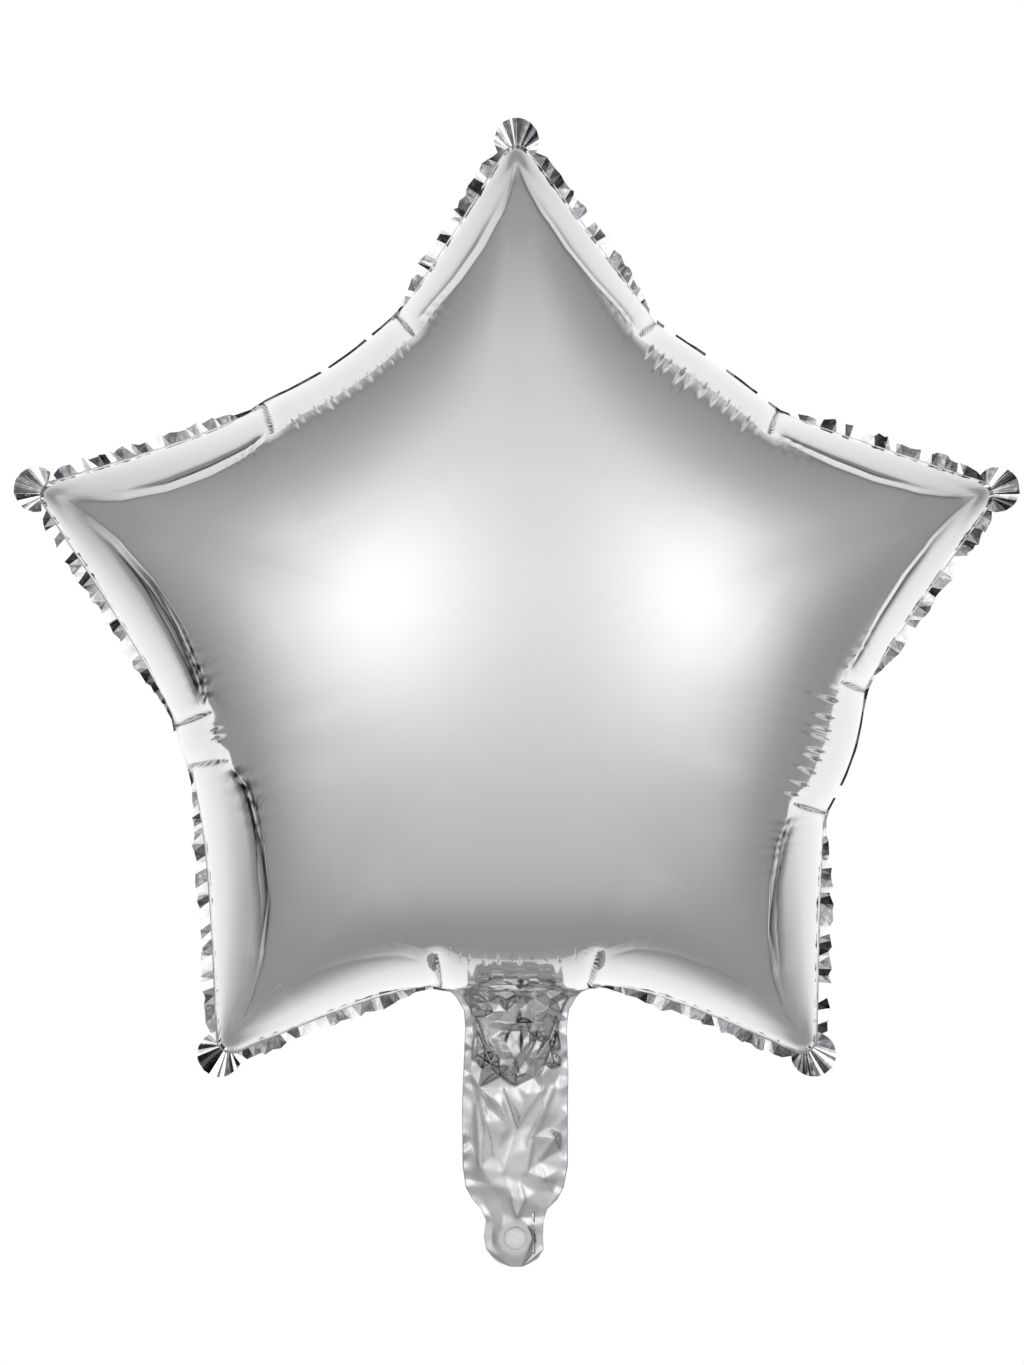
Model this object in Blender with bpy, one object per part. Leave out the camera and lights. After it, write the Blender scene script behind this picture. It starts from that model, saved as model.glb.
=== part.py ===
"""Star-shaped foil balloon, blown up and hung upright by its neck.

Two flat sheets of metallised film are heat-sealed round a five-armed star and a tail. Gas makes
the star a smooth dome on both sides, with a steep rim outside a sharp ridge, and gathers its film
into pleats along the seam. Seen from the front, X runs to the right, Z up and Y away. The origin
is on the neck, where a ribbon ties.
"""

import math
import random

import bpy
import numpy as np

# Star, measured from its centre after inflation. Between each two arms the seam has two notches,
# at the given turns from the middle of the hollow.
ARMS = 5
TIP_RADIUS = 0.2025
TIP_ROUNDING = 0.0065
NOTCH_RADIUS = 0.142
NOTCH_TURNS = ((-12.0, 12.6), (-15.8, 10.3), (-4.7, 2.2), (-12.5, 11.9), (-10.5, 10.4))
BODY_THICKNESS = 0.170

# The arms' sides bow in a little where they are low on the star
LOW_SIDE_BOW = 0.0045

# Steep rim between the seam and the ridge: wider low on the star, and narrower towards each tip
TOP_RIM_WIDTH = 0.0130
BOTTOM_RIM_WIDTH = 0.0215
TIP_RIM_WIDTH = 0.005
RIDGE_LIFT = 0.0048
RIDGE_FADE = 0.012

# Heat-sealed margin outside the gas space
SEAL_WIDTH = 0.0045
SEAL_THICKNESS = 0.0007
SEAL_RIPPLE = 0.0010
TAB_DIAMETER = 0.0184
TAB_REACH = 0.0018
TAB_PLEATS = 9
TAB_PLEAT_DEPTH = 0.0007

# Pleats and creases of the film
GATHER_PITCH = 0.0053
GATHER_LENGTH = 0.014
GATHER_DEPTH = 0.0009
CREASE_LENGTH = 0.018
CREASE_DEPTH = 0.0026

# Tail below the star, measured down from the edge of the body
TIE_DEPTH = 0.0264
NECK_WIDTH = 0.0424
WEB_LENGTH = 0.015
SHOULDER_DEPTH = 0.074
SHOULDER_LENGTH = 0.018
STUB_WIDTH = 0.0238
STUB_LENGTH = 0.0205
THROAT_THICKNESS = 0.0084
THROAT_LENGTH = 0.034
TAIL_THICKNESS = 0.0042
STUB_THICKNESS = 0.0032
NECK_CRUMPLE = 0.0012

# Inflation port in the front sheet of the stub, and the flat valve behind it
PORT_DIAMETER = 0.0094
PORT_INSET = 0.0116
VALVE_WIDTH = 0.014
VALVE_LENGTH = 0.024
VALVE_THICKNESS = 0.0004
VALVE_CLEARANCE = 0.0003

# How finely the film is divided: rings across the rim, across the face beside it and in the
# middle, places along a side of an arm, and rows and columns of the tail
RIM_RINGS = 4
FACE_RINGS = 4
FACE_REACH = 0.36
CENTRE_RINGS = 3
SIDE_COLUMNS = 10
NECK_COLUMNS = 14
NECK_ROWS = 13

dice = random.Random(18)
hollow_step = 2 * math.pi / ARMS


def polar(radius, angle):
    return np.array([radius * math.cos(angle), radius * math.sin(angle)])


def notch_angle(hollow, which):
    """Direction of a notch of the hollow that follows an arm, going anticlockwise."""
    turn = NOTCH_TURNS[hollow % len(NOTCH_TURNS)][which]
    return math.pi / 2 + (hollow - 0.5) * hollow_step + math.radians(turn)


under = ARMS // 2 + 1
mouth_start = polar(NOTCH_RADIUS, notch_angle(under, 0))
mouth_end = polar(NOTCH_RADIUS, notch_angle(under, 1))
body_edge = -(mouth_start[1] + mouth_end[1]) / 2
centre_z = body_edge + TIE_DEPTH


# Layout of the seam
# Each column is a place on the seam: where it is, the direction square to the seam, the outer
# point of the sealed margin, the width of the rim, what it belongs to and how far along it lies.

def square_to(start, end):
    along = (end - start) / np.linalg.norm(end - start)
    return np.array([along[1], -along[0]])


def lowness(place):
    """0 straight above the star's centre and 1 straight below it."""
    return (1 - math.sin(math.atan2(place[1], place[0]))) / 2


def rim_width(place):
    return TOP_RIM_WIDTH + (BOTTOM_RIM_WIDTH - TOP_RIM_WIDTH) * lowness(place)


def side_columns(notch, end, slant):
    """Places from a notch out to a tip."""
    made = []
    for k in range(SIDE_COLUMNS):
        share = (k + 0.5) / (SIDE_COLUMNS + 0.5)
        bow = LOW_SIDE_BOW * lowness(notch) * math.sin(math.pi * share**0.6)
        place = notch + (end - notch) * share - slant * bow
        rim = rim_width(notch) * (1 + 0.6 * share - 1.5 * share**2)
        rim = max(TIP_RIM_WIDTH, rim)
        reach = SEAL_WIDTH * min(1.0, 0.35 + 3 * share)
        made.append(dict(at=place, slant=slant, out=place + slant * reach, rim=rim, kind="side", share=share))
    return made


def tip_columns(middle, tip, first, last):
    """Places round a blunt tip, whose margin spreads into a round pleated tab."""
    made = []
    tab = polar(TIP_RADIUS + TAB_REACH, middle)
    spread = math.atan2(first[1], first[0]) - middle
    spread = abs((spread + math.pi) % (2 * math.pi) - math.pi)
    for k in range(2 * TAB_PLEATS + 1):
        share = k / (2 * TAB_PLEATS)
        turn = middle + spread * (2 * share - 1)
        wide = middle + math.radians(120) * (2 * share - 1)
        slant = first + (last - first) * share
        place = tip + polar(TIP_ROUNDING, turn)
        out = tab + polar(TAB_DIAMETER / 2, wide)
        made.append(dict(at=place, slant=slant, out=out, rim=TIP_RIM_WIDTH, kind="tip", share=share))
    return made


def gather_columns(hollow):
    """The straight stretch of seam between two arms, from one crease to the next."""
    start = polar(NOTCH_RADIUS, notch_angle(hollow, 0))
    end = polar(NOTCH_RADIUS, notch_angle(hollow, 1))
    is_mouth = hollow == under
    count = NECK_COLUMNS if is_mouth else 2 * max(1, round(np.linalg.norm(end - start) / GATHER_PITCH))
    slant = square_to(start, end)
    made = []
    for k in range(count + 1):
        place = start + (end - start) * k / count
        kind = "crease" if k in (0, count) else "mouth" if is_mouth else "gather"
        reach = SEAL_WIDTH * (0.35 if kind == "crease" or not is_mouth else 1.0)
        rim = rim_width(place)
        made.append(dict(at=place, slant=slant, out=place + slant * reach, rim=rim, kind=kind, share=k / count))
    return made


columns = []
for arm in range(ARMS):
    middle = math.pi / 2 + arm * hollow_step
    tip = polar(TIP_RADIUS - TIP_ROUNDING, middle)
    before = polar(NOTCH_RADIUS, notch_angle(arm, 1))
    after = polar(NOTCH_RADIUS, notch_angle(arm + 1, 0))
    first = square_to(before, tip)
    last = square_to(tip, after)
    columns += side_columns(before, tip + TIP_ROUNDING * first, first)
    columns += tip_columns(middle, tip, first, last)
    columns += side_columns(after, tip + TIP_ROUNDING * last, last)[::-1]
    columns += gather_columns(arm + 1)

count = len(columns)
seam = np.array([column["at"] for column in columns])
across_seam = np.array([column["at"] @ column["slant"] for column in columns])
ridge_share = np.array([column["rim"] for column in columns]) / across_seam
ridge_share = (np.roll(ridge_share, 1) + 2 * ridge_share + np.roll(ridge_share, -1)) / 4
kept = [i for i in range(count) if columns[i]["kind"] != "tip" or columns[i]["share"] == 0.5]
rings = [(np.zeros(count), list(range(count)))]
for k in range(1, RIM_RINGS + 1):
    rings.append((ridge_share * (k / RIM_RINGS) ** 1.5, kept))
for k in range(1, FACE_RINGS + 1):
    step = (k / FACE_RINGS) ** 1.4
    rings.append((ridge_share + (FACE_REACH - ridge_share) * step, kept if k < FACE_RINGS else kept[::2]))
for k in range(1, CENTRE_RINGS + 1):
    step = FACE_REACH + (1 - FACE_REACH) * k / (CENTRE_RINGS + 1)
    rings.append((np.full(count, step), kept[::2] if k == 1 else kept[::4]))


# Flat layout of one sheet, ring by ring, and its triangles

def bridge(outer, inner, places):
    """Triangles between two rings, each a list of (vertex, column) that goes once round."""
    faces = []
    i = j = 0
    while i < len(outer) or j < len(inner):
        next_outer = outer[i + 1][1] if i + 1 < len(outer) else places + (i + 1 - len(outer))
        next_inner = inner[j + 1][1] if j + 1 < len(inner) else places + (j + 1 - len(inner))
        a = outer[i % len(outer)][0]
        b = inner[j % len(inner)][0]
        if j >= len(inner) or (i < len(outer) and next_outer <= next_inner):
            faces.append((a, outer[(i + 1) % len(outer)][0], b))
            i += 1
        else:
            faces.append((a, inner[(j + 1) % len(inner)][0], b))
            j += 1
    return faces


flat = []
ring_of = []
loops = []
for reach, members in rings:
    loops.append([(len(flat) + k, column) for k, column in enumerate(members)])
    for column in members:
        flat.append(seam[column] * (1 - reach[column]))
        ring_of.append((column, reach[column] * across_seam[column]))
flat.append(np.zeros(2))
ring_of.append((None, NOTCH_RADIUS))
flat = np.array(flat)
sheet = []
for outer, inner in zip(loops, loops[1:]):
    sheet += bridge(outer, inner, count)
last_loop = [vertex for vertex, column in loops[-1]]
sheet += [(a, b, len(flat) - 1) for a, b in zip(last_loop, last_loop[1:] + last_loop[:1])]


# Height of the dome
# Gas pressure lifts the film as it lifts a membrane held at the seam. The square root turns the
# membrane's height into film that leaves the seam upright, and the top is a little flatter.

def membrane(points, faces, held):
    corners = np.array(faces)
    size = len(points)
    stiffness = np.zeros((size, size))
    load = np.zeros(size)
    for turn in range(3):
        a = corners[:, turn]
        b = corners[:, (turn + 1) % 3]
        c = corners[:, (turn + 2) % 3]
        to_a = points[a] - points[c]
        to_b = points[b] - points[c]
        area = np.abs(to_a[:, 0] * to_b[:, 1] - to_a[:, 1] * to_b[:, 0])
        weight = 0.5 * (to_a * to_b).sum(axis=1) / area
        np.add.at(stiffness, (a, b), -weight)
        np.add.at(stiffness, (b, a), -weight)
        np.add.at(stiffness, (a, a), weight)
        np.add.at(stiffness, (b, b), weight)
        np.add.at(load, c, area / 3)
    free = np.arange(held, size)
    height = np.zeros(size)
    height[free] = np.linalg.solve(stiffness[np.ix_(free, free)], load[free])
    return height


rise = np.sqrt(np.maximum(membrane(flat, sheet, count), 0))
rise /= rise.max()
dome = BODY_THICKNESS / 2 * rise * (1.16 - 0.16 * rise**3)


# Relief of the film: how far each point stands out from the smooth dome

def fade(distance, reach):
    return max(0.0, 1 - distance / reach)


def ridge_lift(inset, rim):
    """Steeper than the dome outside the ridge, and flatter inside it."""
    if inset < rim:
        return RIDGE_LIFT * (inset / rim) ** 2
    return RIDGE_LIFT * math.exp((rim - inset) / RIDGE_FADE)


def relief(index, pleats):
    column, inset = ring_of[index]
    if column is None or inset == 0:
        return 0.0
    kind = columns[column]["kind"]
    rim = ridge_share[column] * across_seam[column]
    lift = ridge_lift(inset, rim)
    if kind == "tip":
        return 0.0
    if kind == "side":
        return lift * min(1.0, (1 - columns[column]["share"]) / 0.35)
    if kind == "crease":
        return lift * 0.6 - CREASE_DEPTH * math.sqrt(fade(inset, CREASE_LENGTH))
    depth, length = pleats[column]
    opened = min(1.0, 0.25 + 0.75 * inset / rim)
    return lift + depth * opened * fade(inset - rim, length) * (1 if column % 2 else -1)


def drawn_pleats():
    return [
        (GATHER_DEPTH * dice.uniform(0.45, 1.0), GATHER_LENGTH * dice.uniform(0.55, 1.1))
        for column in columns
    ]


# Tail: half its width, how deep it ends and half its thickness

def smooth(share):
    share = min(1.0, max(0.0, share))
    return share * share * (3 - 2 * share)


stub_depth = SHOULDER_DEPTH + SHOULDER_LENGTH
tail_length = stub_depth + STUB_LENGTH


def tail_half_width(depth):
    mouth = np.linalg.norm(mouth_end - mouth_start) / 2
    web = (1 - min(1.0, depth / WEB_LENGTH)) ** 1.7
    neck = NECK_WIDTH / 2 + (mouth - NECK_WIDTH / 2) * web
    return neck + (STUB_WIDTH / 2 - neck) * smooth((depth - SHOULDER_DEPTH) / SHOULDER_LENGTH)


def tail_end(across):
    """How deep the rounded end of the stub lies, from its middle (0) to its sides (1)."""
    drop = STUB_WIDTH / 2 * (1 - math.sqrt(max(0.0, 1 - (0.97 * across) ** 2)))
    return tail_length - 0.75 * drop


def tail_half_thickness(depth, across):
    throat = 1 - smooth(depth / THROAT_LENGTH - 0.15)
    stub = smooth((depth - SHOULDER_DEPTH) / SHOULDER_LENGTH)
    middle = TAIL_THICKNESS + (THROAT_THICKNESS - TAIL_THICKNESS) * throat
    middle += (STUB_THICKNESS - middle) * stub
    edge = 1 - abs(across) ** 3 if stub < 0.5 else min(1.0, 3 * (1 - abs(across)))
    return max(SEAL_THICKNESS / 2, middle / 2 * edge)


# One sheet in space: the dome, its sealed margin and its half of the tail

mouth = [i for i in range(count) if columns[i]["kind"] == "mouth"]
mouth = [mouth[0] - 1] + mouth + [mouth[-1] + 1]
mouth_middle = (mouth_start[0] + mouth_end[0]) / 2
margin_lift = [dice.uniform(-1, 1) * SEAL_RIPPLE for column in columns]
margin_reach = [dice.uniform(-0.20, 0.12) for column in columns]
row_total = NECK_ROWS + 1
tail_lift = {(row, side): dice.uniform(-1, 1) * SEAL_RIPPLE * 0.7 for row in range(1, row_total + 1) for side in (0, 1)}


def tail_point(row, k):
    across = 2 * k / (len(mouth) - 1) - 1
    share = row / row_total
    straight = tail_length - STUB_LENGTH * 0.75
    depth = straight * min(1.0, share * row_total / (row_total - 2))
    if row > row_total - 2:
        depth += (tail_end(across) - straight) * (row - row_total + 2) / 2
    middle = mouth_middle * fade(depth, WEB_LENGTH)
    return middle + across * tail_half_width(depth), depth, across


def sheet_points(side):
    """Points of one sheet: side is -1 for the front and 1 for the back."""
    pleats = drawn_pleats()
    points = []
    half_seal = SEAL_THICKNESS / 2
    for index, place in enumerate(flat):
        points.append([place[0], side * max(dome[index], half_seal), place[1] + centre_z])
    for k, column in enumerate(mouth[1:-1], 1):
        across = 2 * k / (len(mouth) - 1) - 1
        points[column][1] = side * tail_half_thickness(0, across)
    lifts = [relief(index, pleats) for index in range(len(flat))]
    margin = {}
    for column in range(count):
        if column in mouth[1:-1]:
            continue
        margin[column] = len(points)
        at, out = columns[column]["at"], columns[column]["out"]
        if columns[column]["kind"] == "tip":
            wave = TAB_PLEAT_DEPTH * (1 if column % 2 else -1)
            spot = out
        else:
            wave = margin_lift[column]
            spot = out + (out - at) * margin_reach[column]
        points.append([spot[0], wave + side * half_seal, spot[1] + centre_z])
    tail = {(0, k): column for k, column in enumerate(mouth)}
    tail[1, 0] = margin[mouth[0]]
    tail[1, len(mouth) - 1] = margin[mouth[-1]]
    for row in range(1, row_total + 1):
        for k in range(len(mouth)):
            x, depth, across = tail_point(row, k)
            rim = k in (0, len(mouth) - 1) or row == row_total
            if (row, k) in tail:
                points[tail[row, k]] = [x, side * half_seal, centre_z - body_edge - depth]
                continue
            tail[row, k] = len(points)
            if rim:
                y = side * half_seal
                if depth < SHOULDER_DEPTH:
                    y += tail_lift[row, 0 if k == 0 else 1]
            else:
                crumple = dice.uniform(-1, 1) * NECK_CRUMPLE * (1 - smooth((depth - 0.065) / 0.015))
                y = side * max(0.0012, tail_half_thickness(depth, across) + crumple)
            points.append([x, y, centre_z - body_edge - depth])
    return points, lifts, margin, tail


def sheet_faces(margin, tail):
    faces = list(sheet)
    for a in range(count):
        b = (a + 1) % count
        if a in margin and b in margin:
            faces += [(a, margin[a], margin[b]), (a, margin[b], b)]
    for row in range(row_total):
        for k in range(len(mouth) - 1):
            a, b = tail[row, k], tail[row, k + 1]
            c, d = tail[row + 1, k + 1], tail[row + 1, k]
            if (row + k) % 2:
                faces += [(a, d, c), (a, c, b)]
            else:
                faces += [(a, d, b), (b, d, c)]
    return faces


def rim_of(margin, tail):
    """The cut edge of a sheet in one loop: round the star's margin and round the tail."""
    final = mouth[-1]
    loop = [margin[(final + k) % count] for k in range(count) if (final + k) % count in margin]
    loop += [tail[row, 0] for row in range(2, row_total + 1)]
    loop += [tail[row_total, k] for k in range(1, len(mouth))]
    loop += [tail[row, len(mouth) - 1] for row in range(row_total - 1, 1, -1)]
    return loop


def new_object(name, points, faces, material):
    mesh = bpy.data.meshes.new(name)
    mesh.from_pydata([tuple(float(value) for value in point) for point in points], [], faces)
    mesh.validate()
    mesh.update()
    for polygon in mesh.polygons:
        polygon.use_smooth = True
    thing = bpy.data.objects.new(name, mesh)
    bpy.context.scene.collection.objects.link(thing)
    if material:
        mesh.materials.append(material)
    return thing


def new_material(name, colour, roughness, metallic):
    material = bpy.data.materials.new(name)
    material.use_nodes = True
    shader = material.node_tree.nodes["Principled BSDF"]
    shader.inputs["Base Color"].default_value = (*colour, 1)
    shader.inputs["Roughness"].default_value = roughness
    shader.inputs["Metallic"].default_value = metallic
    return material


for thing in list(bpy.data.objects):
    bpy.data.objects.remove(thing)

silver_film = new_material("silver_film", (0.83, 0.84, 0.85), 0.2, 1.0)
valve_film = new_material("valve_film", (0.78, 0.78, 0.80), 0.35, 0.0)


# Envelope: front sheet and back sheet, joined all along their cut edge

front, front_relief, front_margin, front_tail = sheet_points(-1)
back, back_relief, back_margin, back_tail = sheet_points(1)
offset = len(front)
faces = sheet_faces(front_margin, front_tail)
faces += [tuple(v + offset for v in reversed(face)) for face in sheet_faces(back_margin, back_tail)]
front_rim = rim_of(front_margin, front_tail)
back_rim = [vertex + offset for vertex in rim_of(back_margin, back_tail)]
turns = list(range(len(front_rim)))
for i, j in zip(turns, turns[1:] + turns[:1]):
    faces.append((front_rim[i], back_rim[i], back_rim[j]))
    faces.append((front_rim[i], back_rim[j], front_rim[j]))
envelope = new_object("foil_envelope", front + back, faces, silver_film)
normals = [tuple(item.vector) for item in envelope.data.vertex_normals]
for base, lifts in ((0, front_relief), (offset, back_relief)):
    for index, lift in enumerate(lifts):
        vertex = envelope.data.vertices[base + index]
        vertex.co = [vertex.co[axis] + normals[base + index][axis] * lift for axis in range(3)]


# Port and valve: a round hole in the front sheet of the stub opens on a flat pocket, and the valve
# lies in the pocket

def box_points(width, thickness, top, bottom):
    return [
        (x * width / 2, y * thickness / 2, z) for z in (bottom, top) for y in (-1, 1) for x in (-1, 1)
    ]


BOX_FACES = [(0, 2, 3, 1), (4, 5, 7, 6), (0, 1, 5, 4), (1, 3, 7, 5), (3, 2, 6, 7), (2, 0, 4, 6)]
port_z = TIE_DEPTH - tail_length + PORT_INSET
valve_bottom = port_z - PORT_DIAMETER / 2 - 0.001
valve_top = valve_bottom + VALVE_LENGTH
pocket = new_object(
    "pocket_cutter",
    box_points(
        VALVE_WIDTH + 2 * VALVE_CLEARANCE,
        VALVE_THICKNESS + 2 * VALVE_CLEARANCE,
        valve_top + VALVE_CLEARANCE,
        valve_bottom - VALVE_CLEARANCE,
    ),
    BOX_FACES,
    None,
)
sides = 24
circle = [polar(PORT_DIAMETER / 2, 2 * math.pi * k / sides) for k in range(sides)]
drill = new_object(
    "port_cutter",
    [(x, y, port_z + z) for y in (-STUB_THICKNESS, 0.0) for x, z in circle],
    [
        tuple(range(sides)),
        tuple(range(2 * sides - 1, sides - 1, -1)),
    ]
    + [(k, k + sides, (k + 1) % sides + sides, (k + 1) % sides) for k in range(sides)],
    None,
)
for cutter in (pocket, drill):
    cutter.hide_render = True
    cut = envelope.modifiers.new(cutter.name, "BOOLEAN")
    cut.operation = "DIFFERENCE"
    cut.solver = "EXACT"
    cut.object = cutter

valve = new_object(
    "valve_strip",
    box_points(VALVE_WIDTH, VALVE_THICKNESS, valve_top, valve_bottom),
    BOX_FACES,
    valve_film,
)
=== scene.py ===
"""Star foil balloon in silver, blown up, held upright by its neck, in a white studio."""

import math

import bmesh
import bpy
import numpy as np
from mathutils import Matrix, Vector
from mathutils.geometry import delaunay_2d_cdt


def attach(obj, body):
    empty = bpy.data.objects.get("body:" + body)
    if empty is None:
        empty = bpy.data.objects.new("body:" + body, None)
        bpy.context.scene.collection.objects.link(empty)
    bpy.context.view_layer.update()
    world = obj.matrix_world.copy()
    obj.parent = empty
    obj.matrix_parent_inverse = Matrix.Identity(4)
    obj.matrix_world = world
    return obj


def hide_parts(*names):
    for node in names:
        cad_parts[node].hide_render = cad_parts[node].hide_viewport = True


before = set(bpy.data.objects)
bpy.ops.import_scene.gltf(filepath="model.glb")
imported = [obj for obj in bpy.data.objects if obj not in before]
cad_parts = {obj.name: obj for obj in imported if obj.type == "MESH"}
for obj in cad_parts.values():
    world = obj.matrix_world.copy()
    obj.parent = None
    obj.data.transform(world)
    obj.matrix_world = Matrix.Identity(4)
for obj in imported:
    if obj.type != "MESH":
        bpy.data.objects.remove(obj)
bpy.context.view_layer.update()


# Camera
# Level with the balloon and square to its front, far enough off to keep the star's shape. The
# star's middle is STAR_Z above the place where the neck is tied, and the camera aims just below it.
STAR_Z = 0.1652
SIGHT = Vector((-0.0019, 0.0, STAR_Z - 0.0149))
CAMERA_DISTANCE = 2.5
CAMERA_LENS = 163
camera_data = bpy.data.cameras.new("camera")
camera_data.lens = CAMERA_LENS
camera = bpy.data.objects.new("camera", camera_data)
bpy.context.scene.collection.objects.link(camera)
camera.location = SIGHT + Vector((0, -CAMERA_DISTANCE, 0))
camera.rotation_euler = (math.radians(90), 0, 0)
bpy.context.scene.camera = camera


# Star envelope
# Two sheets of metallised film, welded together round the edge and blown up. Gas draws the star
# into a dome on both sides. The film has too much length along the seam, and gathers there: in
# lens-shaped creases at the notches, in pleats between the arms and in long folds along each arm.
ARMS = 5
TIP_RADIUS = 0.2025
TIP_ROUNDING = 0.0065
# Each hollow between two arms has a notch near either end, given in degrees from its middle.
FIRST_HOLLOW = 54
NOTCH_RADIUS = 0.142
NOTCH_PAIRS = ((-12.0, 12.6), (-15.8, 10.3), (-4.7, 2.2), (-12.5, 11.9), (-10.5, 10.4))
BODY_THICKNESS = 0.170
# How far, in mm, the seam bows out of the straight line along each side of each arm and across
# each hollow: most sides of the lower arms draw in.
SIDE_BOWS = ((0.3, -1.0), (-3.0, -2.5), (-3.5, -4.2), (-5.5, -0.7), (-1.5, -0.5))
HOLLOW_BOWS = (0.8, -3.0, 0.5, 1.8, 3.0)
# The mesh has a column of points for each place on the seam, closer together near the notches, and
# rings that are fine out to the ridge, coarser over the face and coarsest in the middle.
SIDE_COLUMNS = 48
SIDE_CROWDING = 1.6
GATHER_SPACING = 0.00052
GATHER_CROWDING = 0.09
FAN_COLUMNS = 52
FACE_RINGS = 19
FULL_FACE_RINGS = 9
FACE_CROWDING = 1.35
MIDDLE_REACH = 0.42
COARSE_RINGS = 9


def polar(radius, angle):
    return np.array([radius * math.cos(angle), radius * math.sin(angle)])


def outward(start, end):
    """The direction out of the star, square to a straight stretch of its seam."""
    along = (end - start) / np.linalg.norm(end - start)
    return np.array([along[1], -along[0]])


def notch_at(hollow, which):
    """A notch of the hollow between two arms: 0 is the one met first going anticlockwise."""
    middle = math.radians(FIRST_HOLLOW + 360 / ARMS * hollow)
    return polar(NOTCH_RADIUS, middle + math.radians(NOTCH_PAIRS[hollow % ARMS][which]))


def side_bow(arm, side, share):
    """How far the seam stands out of the straight line at a share of one side of an arm."""
    return 0.001 * SIDE_BOWS[arm][side > 0] * np.sin(math.pi * np.clip(share, 0, 1) ** 0.6)


def hollow_bow(hollow, share):
    """The same across a hollow."""
    return 0.001 * HOLLOW_BOWS[hollow % ARMS] * np.sin(math.pi * np.clip(share, 0, 1))


seam_at = []
seam_out = []
seam_share = []
seam_line = []
lines = []


def add_stretch(places, normals, shares, **line):
    """The next stretch of the seam: its columns, and the line that they stand on."""
    lines.append(line)
    seam_at.extend(places)
    seam_out.extend(normals)
    seam_share.extend(shares)
    seam_line.extend([len(lines) - 1] * len(shares))


for arm in range(ARMS):
    middle = math.pi / 2 + math.tau / ARMS * arm
    tip = polar(TIP_RADIUS - TIP_ROUNDING, middle)
    before = notch_at(arm, 1)
    after = notch_at(arm + 1, 0)
    first_slant = outward(before, tip)
    last_slant = outward(tip, after)
    shares = np.linspace(0, 1, SIDE_COLUMNS + 1)[:-1] ** SIDE_CROWDING
    for side, notch, slant in ((-1, before, first_slant), (1, after, last_slant)):
        end = tip + TIP_ROUNDING * slant
        places = notch + (end - notch) * shares[:, None] + slant * side_bow(arm, side, shares)[:, None]
        if side > 0:
            first = math.atan2(first_slant[1], first_slant[0]) - middle
            last = math.atan2(last_slant[1], last_slant[0]) - middle
            first = (first + math.pi) % math.tau - math.pi
            last = (last + math.pi) % math.tau - math.pi
            turns = np.linspace(0, 1, FAN_COLUMNS + 1)
            angles = middle + first + (last - first) * turns
            normals = np.stack([np.cos(angles), np.sin(angles)], 1)
            add_stretch(tip + TIP_ROUNDING * normals, normals, turns, kind="tip", arm=arm, middle=middle)
            places = places[::-1]
        kept = shares if side < 0 else shares[::-1]
        ends = {"start": notch, "end": end, "slant": slant}
        add_stretch(places, [slant] * len(kept), kept, kind="side", arm=arm, side=side, **ends)
    start = after
    end = notch_at(arm + 1, 1)
    slant = outward(start, end)
    length = np.linalg.norm(end - start)
    even = np.linspace(0, 1, max(8, round(length / GATHER_SPACING)) + 1)[1:-1]
    shares = even - GATHER_CROWDING * np.sin(math.tau * even)
    places = start + (end - start) * shares[:, None] + slant * hollow_bow(arm + 1, shares)[:, None]
    ends = {"start": start, "end": end, "slant": slant}
    add_stretch(places, [slant] * len(shares), shares, kind="gather", arm=arm, **ends)

seam_at = np.array(seam_at)
seam_out = np.array(seam_out)
seam_share = np.array(seam_share)
seam_line = np.array(seam_line)
column_count = len(seam_at)


def bridge(outer, inner, places):
    """Triangles between two rings, each an array of (vertex, column) that goes once round."""
    faces = []
    i = j = 0
    many, few = len(outer), len(inner)
    while i < many or j < few:
        next_outer = outer[i + 1][1] if i + 1 < many else places + (i + 1 - many)
        next_inner = inner[j + 1][1] if j + 1 < few else places + (j + 1 - few)
        if j >= few or (i < many and next_outer <= next_inner):
            faces.append((outer[i % many][0], outer[(i + 1) % many][0], inner[j % few][0]))
            i += 1
        else:
            faces.append((outer[i % many][0], inner[(j + 1) % few][0], inner[j % few][0]))
            j += 1
    return faces


# The rim of the film's face: a crisp ridge runs round the star inside the seam. Its distance from
# the seam, in mm, is given for the notch end of each side of each arm, and narrows to the tip.
SIDE_RIMS = ((13.4, 15.2), (19.8, 22.6), (26.0, 25.0), (25.0, 22.5), (14.2, 16.0))
RIM_SHARES = (0.0, 0.12, 0.30, 0.50, 0.70, 0.85, 1.0)
RIM_WIDTHS = (0.98, 1.0, 1.02, 0.95, 0.74, 0.44, 0.03)
HOLLOW_RIMS = (15.2, 16.7, 20.0, 18.5, 17.5)
RIM_BLEND = 0.012
LEAST_RIM = 0.0012


def ease(low, high, value):
    """A smooth step from 0 at the low value to 1 at the high one."""
    share = np.clip((value - low) / (high - low), 0, 1)
    return share * share * (3 - 2 * share)


def notch_rim(hollow, which):
    """Distance from a notch to the ridge: midway between those of its hollow and its arm."""
    arm, side = (hollow, -1) if which else (hollow - 1, 1)
    return 0.0005 * (HOLLOW_RIMS[hollow % ARMS] + SIDE_RIMS[arm % ARMS][side > 0])


def side_rim(line, share):
    """Distance from the seam to the ridge along one side of an arm."""
    arm, side = line["arm"], line["side"]
    own = 0.001 * SIDE_RIMS[arm][side > 0] * np.interp(share, RIM_SHARES, RIM_WIDTHS)
    shared = notch_rim(arm, 1) if side < 0 else notch_rim(arm + 1, 0)
    length = np.linalg.norm(line["end"] - line["start"])
    return shared + (own - shared) * ease(0, RIM_BLEND, share * length)


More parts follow.
